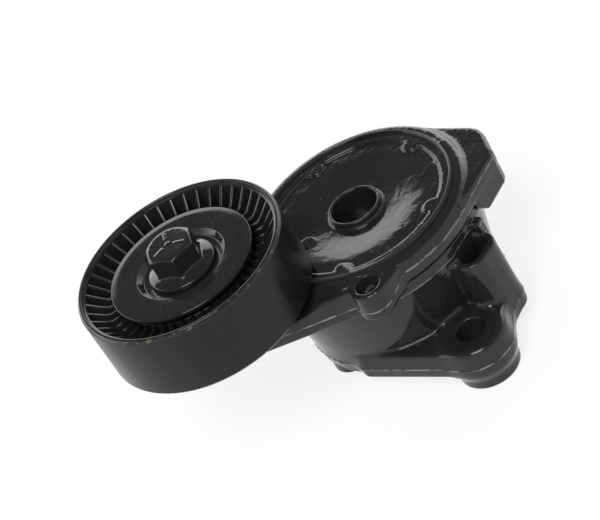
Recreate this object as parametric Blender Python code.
"""Belt tensioner with a ribbed idler pulley, for a flat serpentine belt drive.

The frame: +Z is the arm's pivot axis, pointing out of the front of the unit; z = 0 is the plane of
the mounting feet; the idler pulley hangs on the -X side. Every length below is in millimetres and
is turned into metres when a mesh is made.
"""
import math

import bmesh
import bpy

MM = 0.001

# ---- levels along the pivot axis ----------------------------------------------------------------
FLANGE_REAR = 7.3        # rear face of the base's flange, above the feet
BASE_FLOOR = 10.3        # inside floor of the base cup
FLANGE_FRONT = 16.3      # front face of the base's flange
COLLAR_REAR = 37.1       # where the base's front collar steps in to the cup wall
COLLAR_FRONT = 41.0
ARM_REAR = 41.4          # open rear edge of the arm's drum
ARM_PARTING = 45.3       # widest level of the arm's drum, where the mould halves met
WEB_REAR = 43.6          # rear of the arm's front web
DISC_FRONT = 48.95       # flat ring round the arm's drum
RIM_TOP = 50.3           # thin raised ring on that flat ring
PULLEY_REAR = 51.3
PULLEY_FRONT = 75.3

# ---- radii about the pivot axis -------------------------------------------------------------------
FLANGE_R = 35.8
CUP_INNER_R = 32.4
CUP_REAR_R = 34.9
CUP_FRONT_R = 37.7
COLLAR_R = 38.3
DRUM_R = 38.9
RING_OUT_R = 33.5
RING_IN_R = 32.8
LEDGE_R = 29.6
TUBE_OUT_R = 9.1
TUBE_IN_R = 7.9
SHAFT_R = 7.0
BUSH_IN_R = 7.25
BUSH_OUT_R = 9.3
HUB_BORE_R = 9.6
HUB_OUT_R = 12.6
TUBE_FLOOR = 32.0        # floor of the front tube, where the shaft's head clamps the washers
TUBE_SHOULDER = 30.2

# ---- pulley ------------------------------------------------------------------------------------
PULLEY_X = -56.4
PULLEY_R = 35.0
PULLEY_LIP_R = 33.1
RIB_COUNT = 44
RIB_WIDTH = 1.0
RIB_PHASE = math.radians(2.0)
BEARING_MID = 63.3
BEARING_WIDTH = 12.0
BEARING_OUT_R = 20.0
BEARING_BORE_R = 8.5
BALL_COUNT = 8
BALL_R = 3.4
BALL_PITCH_R = 14.25
COVER_R = 24.3
BOLT_FLANGE_R = 11.3
HEX_ACROSS_FLATS = 16.0

# ---- bosses on the base and the arm --------------------------------------------------------------
LUG_XY = (1.3, -45.0)
REAR_LUG_XY = (-6.0, 44.6)
LUG_R = 11.0
LUG_HOLE_R = 4.9
FOOT_XY = (-25.8, 0.0)
FOOT_R = 7.0
SERVICE_RADIUS = 39.7            # of the locking pin about the pivot
SERVICE_ANGLE = math.radians(-116.1)
POCKET_ANGLE = math.radians(-64.8)
PIN_HOLE_R = 3.8
POCKET_TOP = 33.0
POCKET_HALF_SPAN = 2.35
POCKET_WALL = 1.9

# Travel stops on the collar: first and last angle, outer radius, bottom, top.
STOPS = ((-55.0, -50.5, 40.9, 31.8, 37.6), (54.0, 63.0, 44.0, 25.0, 39.6))

# Round bumps on the inner edge of the disc's ledge.
BUMP_COUNT = 5
BUMP_RADIUS = 29.0
BUMP_R = 3.0
BUMP_START = math.radians(-129.6)

SEGMENTS = 48             # columns round the large castings
FINE_RING = 28            # columns round the small turned pieces


# ---- small geometry helpers ----------------------------------------------------------------------
def polar(radius, angle):
    return (radius * math.cos(angle), radius * math.sin(angle))


def arc(centre, radius, start, stop, steps):
    """Points from angle start to angle stop, both in degrees, ends included."""
    points = []
    for k in range(steps + 1):
        angle = math.radians(start + (stop - start) * k / steps)
        points.append((centre[0] + radius * math.cos(angle), centre[1] + radius * math.sin(angle)))
    return points


def tangent_outline(c1, r1, c2, r2, steps=20):
    """Outline of two circles and the two lines that touch both, counter-clockwise."""
    dx, dy = c2[0] - c1[0], c2[1] - c1[1]
    heading = math.degrees(math.atan2(dy, dx))
    lean = math.degrees(math.acos((r1 - r2) / math.hypot(dx, dy)))
    far = arc(c2, r2, heading - lean, heading + lean, steps)
    near = arc(c1, r1, heading + lean, heading + 360.0 - lean, steps)
    return far + near


def material(name, colour, roughness, metallic):
    mat = bpy.data.materials.new(name)
    mat.use_nodes = True
    shader = mat.node_tree.nodes["Principled BSDF"]
    shader.inputs["Base Color"].default_value = (*colour, 1.0)
    shader.inputs["Roughness"].default_value = roughness
    shader.inputs["Metallic"].default_value = metallic
    return mat


def build_object(name, verts, faces, mat, centre=(0.0, 0.0), parent=None):
    """A mesh object whose origin stands on the axis at centre; verts are in world millimetres."""
    mesh = bpy.data.meshes.new(name)
    local = []
    for x, y, z in verts:
        local.append(((x - centre[0]) * MM, (y - centre[1]) * MM, z * MM))
    mesh.from_pydata(local, [], faces)
    bm = bmesh.new()
    bm.from_mesh(mesh)
    bmesh.ops.recalc_face_normals(bm, faces=bm.faces)
    bm.to_mesh(mesh)
    bm.free()
    mesh.shade_smooth()
    mesh.set_sharp_from_angle(angle=math.radians(32.0))
    mesh.materials.append(mat)
    obj = bpy.data.objects.new(name, mesh)
    bpy.context.collection.objects.link(obj)
    if parent is None:
        obj.location = (centre[0] * MM, centre[1] * MM, 0.0)
    else:
        obj.parent = parent
        obj.location = (centre[0] * MM - parent.location.x, centre[1] * MM - parent.location.y, 0.0)
    return obj


def ring_mesh(profile, centre=(0.0, 0.0), segments=SEGMENTS, start=0.0, sweep=360.0):
    """Turn a closed profile of (radius, z) points about the axis at centre."""
    full = abs(sweep) > 359.9
    columns = segments if full else segments + 1
    verts = []
    index = []
    for k in range(columns):
        angle = math.radians(start + sweep * k / segments)
        column = []
        for radius, z in profile:
            if radius == 0.0 and k > 0 and full:
                column.append(index[0][len(column)])
                continue
            column.append(len(verts))
            verts.append((centre[0] + radius * math.cos(angle), centre[1] + radius * math.sin(angle), z))
        index.append(column)
    faces = []
    rows = len(profile)
    for k in range(segments):
        here, there = index[k], index[(k + 1) % columns]
        for j in range(rows):
            i = (j + 1) % rows
            corners = []
            for corner in (here[j], there[j], there[i], here[i]):
                if corner not in corners:
                    corners.append(corner)
            if len(corners) > 2:
                faces.append(corners)
    if not full:
        faces.append(list(reversed(index[0])))
        faces.append(list(index[-1]))
    return verts, faces


def prism_mesh(outline, low, high):
    """A straight block over an outline; low and high are levels, or functions of (x, y)."""
    def level(value, point):
        return value(*point) if callable(value) else value
    count = len(outline)
    verts = [(x, y, level(low, (x, y))) for x, y in outline]
    verts += [(x, y, level(high, (x, y))) for x, y in outline]
    faces = [list(range(count))[::-1], list(range(count, 2 * count))]
    for k in range(count):
        n = (k + 1) % count
        faces.append([k, n, count + n, count + k])
    return verts, faces


def turned(name, profile, mat, centre=(0.0, 0.0), parent=None, segments=SEGMENTS, start=0.0,
           sweep=360.0):
    verts, faces = ring_mesh(profile, centre, segments, start, sweep)
    return build_object(name, verts, faces, mat, centre, parent)


def boolean(body, tool_mesh, operation):
    """Add or take away a shape. The tool stays in the file as a hidden wire object."""
    count = len([m for m in body.modifiers if m.type == "BOOLEAN"])
    tool = build_object(body.name + "_tool_" + str(count), *tool_mesh, body.data.materials[0])
    tool.hide_render = True
    tool.display_type = "WIRE"
    modifier = body.modifiers.new(operation.lower() + "_" + str(count), "BOOLEAN")
    modifier.operation = operation
    modifier.solver = "EXACT"
    modifier.object = tool


def add(body, tool_mesh):
    boolean(body, tool_mesh, "UNION")


def cut(body, tool_mesh):
    boolean(body, tool_mesh, "DIFFERENCE")


def cylinder_mesh(centre, radius, low, high, segments=24):
    return prism_mesh(arc(centre, radius, 0.0, 360.0 - 360.0 / segments, segments - 1), low, high)


# ---- base ------------------------------------------------------------------------------------------
def pocket_outline(radius, steps=6):
    """Obround round the locking-pin pocket, its long way along the arm's travel."""
    centre = polar(SERVICE_RADIUS, POCKET_ANGLE)
    along = POCKET_ANGLE + math.pi / 2
    step = polar(POCKET_HALF_SPAN, along)
    ends = ((centre[0] + step[0], centre[1] + step[1]), (centre[0] - step[0], centre[1] - step[1]))
    heading = math.degrees(along)
    points = arc(ends[0], radius, heading - 90.0, heading + 90.0, steps)
    points += arc(ends[1], radius, heading + 90.0, heading + 270.0, steps)
    return points


def make_base(mat):
    """Die-cast cup that holds the spring, with its flange, two bolt lugs, feet and pin pocket."""
    post_r, post_top, socket_low, seat_r, seat_low = 10.8, 17.0, 2.0, 35.9, 39.6
    outside = [
        (0.0, 0.0),
        (10.0, 0.0),
        (10.0, FLANGE_REAR),
        (CUP_REAR_R - 0.4, FLANGE_REAR),
        (CUP_REAR_R, FLANGE_FRONT),
        (CUP_FRONT_R, COLLAR_REAR - 0.4),
        (COLLAR_R - 0.1, COLLAR_REAR),
        (COLLAR_R, COLLAR_FRONT),
        (0.0, COLLAR_FRONT),
    ]
    base = turned("base_housing", outside, mat)
    for lug in (LUG_XY, REAR_LUG_XY):
        skirt = tangent_outline((0.0, 0.0), FLANGE_R, lug, LUG_R, 12)
        add(base, prism_mesh(skirt, FLANGE_REAR + 0.2, FLANGE_FRONT - 0.1))
        add(base, cylinder_mesh(lug, LUG_R - 0.3, 0.0, FLANGE_FRONT + 0.2))
    add(base, prism_mesh(pocket_outline(PIN_HOLE_R + POCKET_WALL), FLANGE_REAR + 1.0, POCKET_TOP))
    add(base, prism_mesh(pocket_outline(PIN_HOLE_R + POCKET_WALL + 0.6), FLANGE_REAR - 0.2, 15.3))
    add(base, cylinder_mesh(FOOT_XY, FOOT_R, 0.0, FLANGE_REAR + 1.0))
    for first, last, outer, bottom, top in STOPS:
        stop = arc((0.0, 0.0), outer, first, last, 4) + arc((0.0, 0.0), 35.2, last, first, 4)
        add(base, prism_mesh(stop, bottom, top))
    cavity = ring_mesh([
        (0.0, post_top),
        (post_r, post_top),
        (post_r, BASE_FLOOR),
        (CUP_INNER_R, BASE_FLOOR),
        (CUP_INNER_R + 0.8, seat_low),
        (seat_r, seat_low),
        (seat_r, COLLAR_FRONT + 5.0),
        (0.0, COLLAR_FRONT + 5.0),
    ])
    cut(base, cavity)
    cut(base, cylinder_mesh((0.0, 0.0), SHAFT_R + 0.3, socket_low, post_top + 1.0, FINE_RING))
    for lug in (LUG_XY, REAR_LUG_XY):
        cut(base, cylinder_mesh(lug, LUG_HOLE_R, -1.0, FLANGE_FRONT + 2.0))
    cut(base, prism_mesh(pocket_outline(PIN_HOLE_R), 12.0, POCKET_TOP + 2.0))
    return base


def make_pivot_shaft(mat):
    """Steel pivot pressed into the base, with a spread head that keeps the arm on."""
    profile = [
        (0.0, 2.3), (6.4, 2.3), (SHAFT_R, 2.9), (SHAFT_R, 29.8), (5.0, 29.8), (5.0, 35.2),
        (6.4, 35.2), (6.6, 35.8), (5.8, 36.5), (0.0, 36.7),
    ]
    return turned("pivot_shaft", profile, mat, segments=FINE_RING)


# ---- spring, damper and pivot fittings ---------------------------------------------------------------
def make_spring(mat):
    """Torsion spring of round wire: a helix with both ends closed flat by a cap."""
    wire_r, mean_r, turns, steps, sides = 2.35, 26.4, 4.5, 20, 6
    low, high = 15.5, 39.9
    count = int(turns * steps)
    verts = []
    for k in range(count + 1):
        angle = math.radians(20.0) + 2.0 * math.pi * k / steps
        height = low + (high - low) * k / count
        for j in range(sides):
            turn = 2.0 * math.pi * j / sides
            radius = mean_r + wire_r * math.cos(turn)
            verts.append((*polar(radius, angle), height + wire_r * math.sin(turn)))
    faces = [list(range(sides)), list(range(count * sides, (count + 1) * sides))]
    for k in range(count):
        for j in range(sides):
            n = (j + 1) % sides
            faces.append([k * sides + j, k * sides + n, (k + 1) * sides + n, (k + 1) * sides + j])
    return build_object("torsion_spring", verts, faces, mat)


def make_spring_seat(mat, parent=None):
    """Moulded ring under the spring, with an outer lip that centres the last coil."""
    profile = [(21.5, 10.7), (21.5, 12.6), (30.3, 12.6), (30.3, 15.0), (31.8, 15.0), (31.8, 10.7)]
    return turned("spring_seat", profile, mat, parent=parent, segments=FINE_RING)


def make_friction_ring(mat, parent):
    """Open damper ring that the spring presses against the inside of the cup."""
    profile = [(29.7, 27.0), (29.7, 39.2), (32.2, 39.2), (32.0, 27.0)]
    return turned("friction_ring", profile, mat, parent=parent, segments=FINE_RING, start=-70.0,
                  sweep=300.0)


def make_dust_seal(mat):
    """Rubber ring in the seam between the base's collar and the arm's drum."""
    profile = [(34.0, 40.0), (34.0, 42.9), (34.8, 42.9), (35.5, 41.3), (35.5, 40.0)]
    return turned("dust_seal", profile, mat, segments=FINE_RING)


def make_pivot_bushing(mat, parent):
    """Flanged plain bearing pressed in the arm's hub."""
    profile = [
        (BUSH_IN_R, 17.4), (BUSH_IN_R, 29.7), (BUSH_OUT_R, 29.7), (BUSH_OUT_R, 19.2), (12.2, 19.2),
        (12.2, 17.4),
    ]
    return turned("pivot_bushing", profile, mat, parent=parent, segments=FINE_RING)


def make_thrust_washer(mat):
    profile = [(5.35, 32.3), (5.35, 33.4), (7.5, 33.4), (7.5, 32.3)]
    return turned("thrust_washer", profile, mat, segments=FINE_RING)


def make_retainer_washer(mat):
    profile = [(5.3, 33.7), (5.3, 34.9), (7.5, 34.9), (7.5, 33.7)]
    return turned("retainer_washer", profile, mat, segments=FINE_RING)


# ---- arm -------------------------------------------------------------------------------------------
def beam_outline(inner_r):
    """The beam in plan: tangent from the drum to the pulley post, hollowed by the drum's circle."""
    root_r, tip_r = 40.4, 14.0
    lean = math.degrees(math.acos((root_r - tip_r) / abs(PULLEY_X)))
    points = arc((PULLEY_X, 0.0), tip_r, 180.0 - lean, 180.0 + lean, 10)
    points.append(polar(root_r, math.radians(180.0 + lean)))
    points += arc((0.0, 0.0), inner_r, 180.0 + lean, 180.0 - lean, 16)
    points.append(polar(root_r, math.radians(180.0 - lean)))
    return points


def beam_side(x):
    """Half width of the beam at x, on its straight tangent sides."""
    return 36.0 + (x + 18.3) * 0.529


def make_arm(mat, parent):
    """Die-cast swing arm: front drum and hub, beam with the pulley post, stop block and pin eye."""
    shoulder, inner = 5.5, 37.0
    beam_low, beam_tip, beam_top, post_top = 38.3, 44.3, 48.6, 54.6
    profile = [
        (shoulder, TUBE_SHOULDER),
        (shoulder, TUBE_FLOOR),
        (TUBE_IN_R, TUBE_FLOOR),
        (TUBE_IN_R, 49.3),
        (TUBE_OUT_R, 49.3),
        (TUBE_OUT_R, 46.3),
        (LEDGE_R, 48.1),
        (LEDGE_R, 49.2),
        (RING_IN_R - 0.3, 49.2),
        (RING_IN_R, RIM_TOP),
        (RING_OUT_R, RIM_TOP),
        (RING_OUT_R + 0.4, DISC_FRONT),
        (35.9, DISC_FRONT),
        (37.2, 48.0),
        (DRUM_R, ARM_PARTING),
        (DRUM_R - 0.3, ARM_REAR),
        (36.2, ARM_REAR),
        (35.8, WEB_REAR),
        (HUB_OUT_R + 1.0, WEB_REAR - 0.6),
        (HUB_OUT_R, WEB_REAR - 2.0),
        (HUB_OUT_R, 19.5),
        (HUB_BORE_R, 19.5),
        (HUB_BORE_R, TUBE_SHOULDER),
    ]
    arm = turned("tensioner_arm", profile, mat, parent=parent)
    for k in range(BUMP_COUNT):
        bump = polar(BUMP_RADIUS, BUMP_START + 2.0 * math.pi * k / BUMP_COUNT)
        add(arm, cylinder_mesh(bump, BUMP_R, 45.0, 49.1, 16))

    add(arm, prism_mesh(beam_outline(inner), ARM_REAR + 0.1, beam_tip))
    add(arm, prism_mesh(beam_outline(DRUM_R + 0.1), beam_low, ARM_REAR + 1.0))
    near, far = -38.5, -47.5
    saddle = arc((0.0, 0.0), inner, 243.0, 117.0, 16)
    half_near, half_far = beam_side(near), beam_side(far)
    saddle = [(-18.3, -36.0)] + saddle + [(-18.3, 36.0), (near, half_near), (near, -half_near)]
    add(arm, prism_mesh(saddle, beam_tip - 1.5, beam_top))
    ramp = [(near + 0.5, -half_near), (near + 0.5, half_near), (far, half_far), (far, -half_far)]

    def ramp_top(x, y):
        return beam_top - 0.1 if x > near else beam_tip - 0.1

    add(arm, prism_mesh(ramp, beam_tip - 1.0, ramp_top))
    add(arm, cylinder_mesh((PULLEY_X, 0.0), 9.2, beam_tip - 2.0, post_top))

    rim_of_block = [
        (45.3, -2.4), (46.4, -5.6), (46.1, -8.8), (42.9, -18.8), (41.3, -20.8),
    ]
    block = [(35.5, 14.4)] + rim_of_block + [(30.5, -26.6), (21.0, -31.6)]
    block = list(reversed(block)) + arc((0.0, 0.0), inner, 18.0, -54.0, 12)
    add(arm, prism_mesh(block, ARM_REAR + 0.15, 47.1))
    hook = arc((0.0, 0.0), DRUM_R + 0.1, -5.0, -39.0, 8)
    hook += [(32.4, -26.2), (35.2, -25.6)] + list(reversed(rim_of_block))
    add(arm, prism_mesh(hook, 34.8, ARM_REAR + 1.0))

    eye = polar(SERVICE_RADIUS, SERVICE_ANGLE)
    add(arm, cylinder_mesh(eye, 6.1, 39.0, 48.75))
    web = [(-23.0, -31.0), (-17.5, -41.6), (-14.0, -40.8), (-6.6, -38.0), (-6.0, -36.6)]
    web += arc((0.0, 0.0), inner, 262.0, 236.0, 6)
    add(arm, prism_mesh(web, 42.0, 48.8))
    clearance = ring_mesh([
        (26.0, 30.0), (DRUM_R - 0.05, 30.0), (DRUM_R - 0.05, ARM_REAR - 0.1),
        (36.4, ARM_REAR - 0.1), (36.4, WEB_REAR - 0.5), (26.0, WEB_REAR - 0.5),
    ])
    cut(arm, clearance)
    cut(arm, cylinder_mesh(eye, PIN_HOLE_R, 30.0, 55.0))
    cut(arm, cylinder_mesh((PULLEY_X, 0.0), 5.3, 36.0, 60.0))
    return arm


# ---- idler pulley ------------------------------------------------------------------------------------
def rib_level(radius):
    """Front edge of a rib: level near the hub, then rising to the rim's lip."""
    flat = PULLEY_FRONT - 6.0
    return flat + max(0.0, radius - 27.5) * (PULLEY_FRONT - 0.8 - flat) / (PULLEY_LIP_R - 27.5)


def make_pulley_rim(mat, parent):
    """Moulded pulley: smooth outer rim, hub round the bearing, middle web and radial ribs.

    The front and rear are walked cell by cell round the axis: a rib cell stands at the rib's level
    and a pocket cell lies on the web.
    """
    radii = [BEARING_OUT_R + 0.2, 22.6, 27.5, PULLEY_LIP_R, PULLEY_R]
    web_half = 1.5
    hub_half = BEARING_WIDTH / 2
    columns = 2 * RIB_COUNT
    verts = []
    lookup = {}

    def vertex(column, ring, z):
        column %= columns
        key = (column, ring, round(z, 4))
        if key not in lookup:
            half = RIB_WIDTH / 2 / max(radii[ring], 24.0)
            angle = RIB_PHASE + 2 * math.pi * (column // 2) / RIB_COUNT
            angle += half if column % 2 else -half
            x, y = polar(radii[ring], angle)
            lookup[key] = len(verts)
            verts.append((PULLEY_X + x, y, z))
        return lookup[key]

    faces = []

    def upright(column, ring, levels):
        """Quads between two columns on one ring, one for each step of level."""
        for k in range(len(levels) - 1):
            a, b = levels[k], levels[k + 1]
            if abs(a - b) < 1e-6:
                continue
            faces.append([vertex(column, ring, a), vertex(column + 1, ring, a),
                          vertex(column + 1, ring, b), vertex(column, ring, b)])

    def floor(column, rings, levels):
        faces.append([vertex(column, rings[0], levels[0]), vertex(column + 1, rings[0], levels[0]),
                      vertex(column + 1, rings[1], levels[1]), vertex(column, rings[1], levels[1])])

    front_ribs = [rib_level(r) for r in radii]
    rear_ribs = [2 * BEARING_MID - level for level in front_ribs]
    sides = (
        (BEARING_MID + hub_half, BEARING_MID + web_half, front_ribs, PULLEY_FRONT),
        (BEARING_MID - hub_half, BEARING_MID - web_half, rear_ribs, PULLEY_REAR),
    )
    for hub_z, web_z, rib_z, lip_z in sides:
        for column in range(columns):
            is_rib = column % 2 == 0
            floor(column, (0, 1), (hub_z, hub_z))
            upright(column, 1, [hub_z, rib_z[1]])
            for inner in (1, 2):
                if is_rib:
                    floor(column, (inner, inner + 1), (rib_z[inner], rib_z[inner + 1]))
                else:
                    floor(column, (inner, inner + 1), (web_z, web_z))
            if not is_rib:
                upright(column, 1, [rib_z[1], web_z])
                upright(column, 3, [rib_z[3], web_z])
            upright(column, 3, [rib_z[3], lip_z])
            floor(column, (3, 4), (lip_z, lip_z))
            for inner in (1, 2):
                outer = inner + 1
                faces.append([vertex(column, inner, rib_z[inner]), vertex(column, outer, rib_z[outer]),
                              vertex(column, outer, web_z), vertex(column, inner, web_z)])
    for column in range(columns):
        upright(column, 0, [sides[0][0], sides[1][0]])
        upright(column, 4, [sides[0][3], sides[1][3]])
    return build_object("pulley_rim", verts, faces, mat, (PULLEY_X, 0.0), parent)


def groove(radius, steps=4):
    """Profile points of a ball groove: centred on the ball circle, opening past radius."""
    reach = BALL_R + 0.12
    outward = radius > BALL_PITCH_R
    drop = abs(radius - BALL_PITCH_R)
    half = math.degrees(math.acos(drop / reach))
    middle = 0.0 if outward else 180.0
    return arc((BALL_PITCH_R, BEARING_MID), reach, middle - half, middle + half, steps)


def make_bearing(steel, rubber, plastic, arm_parent, pulley_parent):
    """Deep-groove ball bearing: two races, a crown cage, its balls and two seals."""
    centre = (PULLEY_X, 0.0)
    low, high = BEARING_MID - BEARING_WIDTH / 2, BEARING_MID + BEARING_WIDTH / 2
    outer = [(BEARING_OUT_R - 0.1, low), (BEARING_OUT_R - 0.1, high), (16.9, high)]
    outer += list(reversed(groove(16.9)))
    outer += [(16.9, low)]
    turned("bearing_outer_race", outer, steel, centre, pulley_parent, FINE_RING)
    inner = [(BEARING_BORE_R, low), (BEARING_BORE_R, high), (11.6, high)]
    inner += groove(11.6)
    inner += [(11.6, low)]
    turned("bearing_inner_race", inner, steel, centre, arm_parent, FINE_RING)
    for k in range(BALL_COUNT):
        angle = 2 * math.pi * k / BALL_COUNT
        x, y = polar(BALL_PITCH_R, angle)
        bm = bmesh.new()
        bmesh.ops.create_icosphere(bm, subdivisions=2, radius=BALL_R)
        verts = [(PULLEY_X + x + v.co.x, y + v.co.y, BEARING_MID + v.co.z) for v in bm.verts]
        faces = [[v.index for v in f.verts] for f in bm.faces]
        bm.free()
        build_object("bearing_ball_" + str(k + 1), verts, faces, steel, centre, pulley_parent)
    cage = turned("bearing_cage", [(12.5, 58.6), (12.5, 59.5), (16.0, 59.5), (16.0, 58.6)], plastic,
                  centre, pulley_parent, FINE_RING)
    for k in range(BALL_COUNT):
        middle = 360.0 * (k + 0.5) / BALL_COUNT
        finger = arc(centre, 15.6, middle - 5.0, middle + 5.0, 2)
        finger += arc(centre, 12.9, middle + 5.0, middle - 5.0, 2)
        add(cage, prism_mesh(finger, 59.2, 65.4))
    for name, at in (("front", high - 1.1), ("rear", low + 0.3)):
        profile = [(11.9, at), (11.9, at + 0.8), (16.6, at + 0.8), (16.6, at)]
        turned("bearing_seal_" + name, profile, rubber, centre, pulley_parent, FINE_RING)


def make_hub_spacer(mat, parent):
    """Flanged steel sleeve through the inner race, clamped between the arm's post and the bolt."""
    profile = [(5.3, 56.2), (5.3, 69.4), (8.2, 69.4), (8.2, 57.0), (11.0, 57.0), (11.0, 56.2)]
    return turned("hub_spacer", profile, mat, (PULLEY_X, 0.0), parent, FINE_RING)


def make_dust_cover(mat, parent):
    """Pressed steel cover: flat ring, then a step down to the seat of the bolt's flange."""
    profile = [
        (5.4, 69.7), (5.4, 70.7), (13.2, 70.7), (14.9, 72.6), (22.6, 72.9), (COVER_R, 72.4),
        (COVER_R, 71.6), (22.4, 72.0), (15.4, 71.6), (13.8, 69.7),
    ]
    return turned("dust_cover", profile, mat, (PULLEY_X, 0.0), parent)


def make_rear_shield(mat, parent):
    """Thin steel disc between the arm's post and the inner race."""
    profile = [(5.6, 54.9), (5.6, 55.9), (18.4, 55.9), (20.6, 54.0), (20.0, 53.4), (18.0, 54.9)]
    return turned("rear_dust_shield", profile, mat, (PULLEY_X, 0.0), parent, FINE_RING)


def make_pulley_bolt(mat, parent):
    """Flanged hex bolt that clamps the cover, bearing and sleeve to the arm's post."""
    corner = HEX_ACROSS_FLATS / 2 / math.cos(math.radians(30.0))
    shank = [
        (0.0, 38.9), (4.0, 38.9), (5.0, 39.9), (5.0, 71.0), (BOLT_FLANGE_R, 71.0),
        (BOLT_FLANGE_R, 72.0), (8.6, 73.4), (0.0, 73.4),
    ]
    bolt = turned("pulley_bolt", shank, mat, (PULLEY_X, 0.0), parent, FINE_RING)
    hexagon = arc((PULLEY_X, 0.0), corner, 10.0, 310.0, 5)
    add(bolt, prism_mesh(hexagon, 73.0, 81.4))
    cone = ring_mesh([(7.7, 82.0), (14.0, 77.8), (14.0, 83.0), (7.7, 83.0)], (PULLEY_X, 0.0), FINE_RING)
    cut(bolt, cone)
    return bolt


# ---- assembly ---------------------------------------------------------------------------------------
def clear_scene():
    for obj in list(bpy.data.objects):
        bpy.data.objects.remove(obj, do_unlink=True)


def pivot_empty(name, x, y):
    empty = bpy.data.objects.new(name, None)
    empty.location = (x * MM, y * MM, 0.0)
    bpy.context.collection.objects.link(empty)
    return empty


def main():
    clear_scene()
    paint = material("painted_casting", (0.018, 0.020, 0.022), 0.18, 0.0)
    pulley_mat = material("pulley_moulding", (0.020, 0.019, 0.017), 0.35, 0.0)
    cover_mat = material("painted_cover", (0.018, 0.020, 0.022), 0.22, 0.0)
    bolt_mat = material("painted_bolt", (0.020, 0.021, 0.023), 0.25, 0.0)
    steel = material("bearing_steel", (0.60, 0.60, 0.62), 0.20, 1.0)
    spring_mat = material("spring_steel", (0.20, 0.20, 0.21), 0.40, 1.0)
    plastic = material("damper_plastic", (0.10, 0.085, 0.06), 0.50, 0.0)
    rubber = material("seal_rubber", (0.02, 0.02, 0.02), 0.80, 0.0)

    arm_axis = pivot_empty("arm_axis", 0.0, 0.0)
    pulley_axis = pivot_empty("pulley_axis", PULLEY_X, 0.0)

    make_base(paint)
    make_pivot_shaft(steel)
    make_spring(spring_mat)
    make_spring_seat(plastic)
    make_friction_ring(plastic, arm_axis)
    make_dust_seal(rubber)
    make_pivot_bushing(plastic, arm_axis)
    make_thrust_washer(plastic)
    make_retainer_washer(steel)
    make_arm(paint, arm_axis)

    make_pulley_rim(pulley_mat, pulley_axis)
    make_bearing(steel, rubber, plastic, arm_axis, pulley_axis)
    make_hub_spacer(steel, arm_axis)
    make_dust_cover(cover_mat, arm_axis)
    make_rear_shield(steel, arm_axis)
    make_pulley_bolt(bolt_mat, arm_axis)


main()
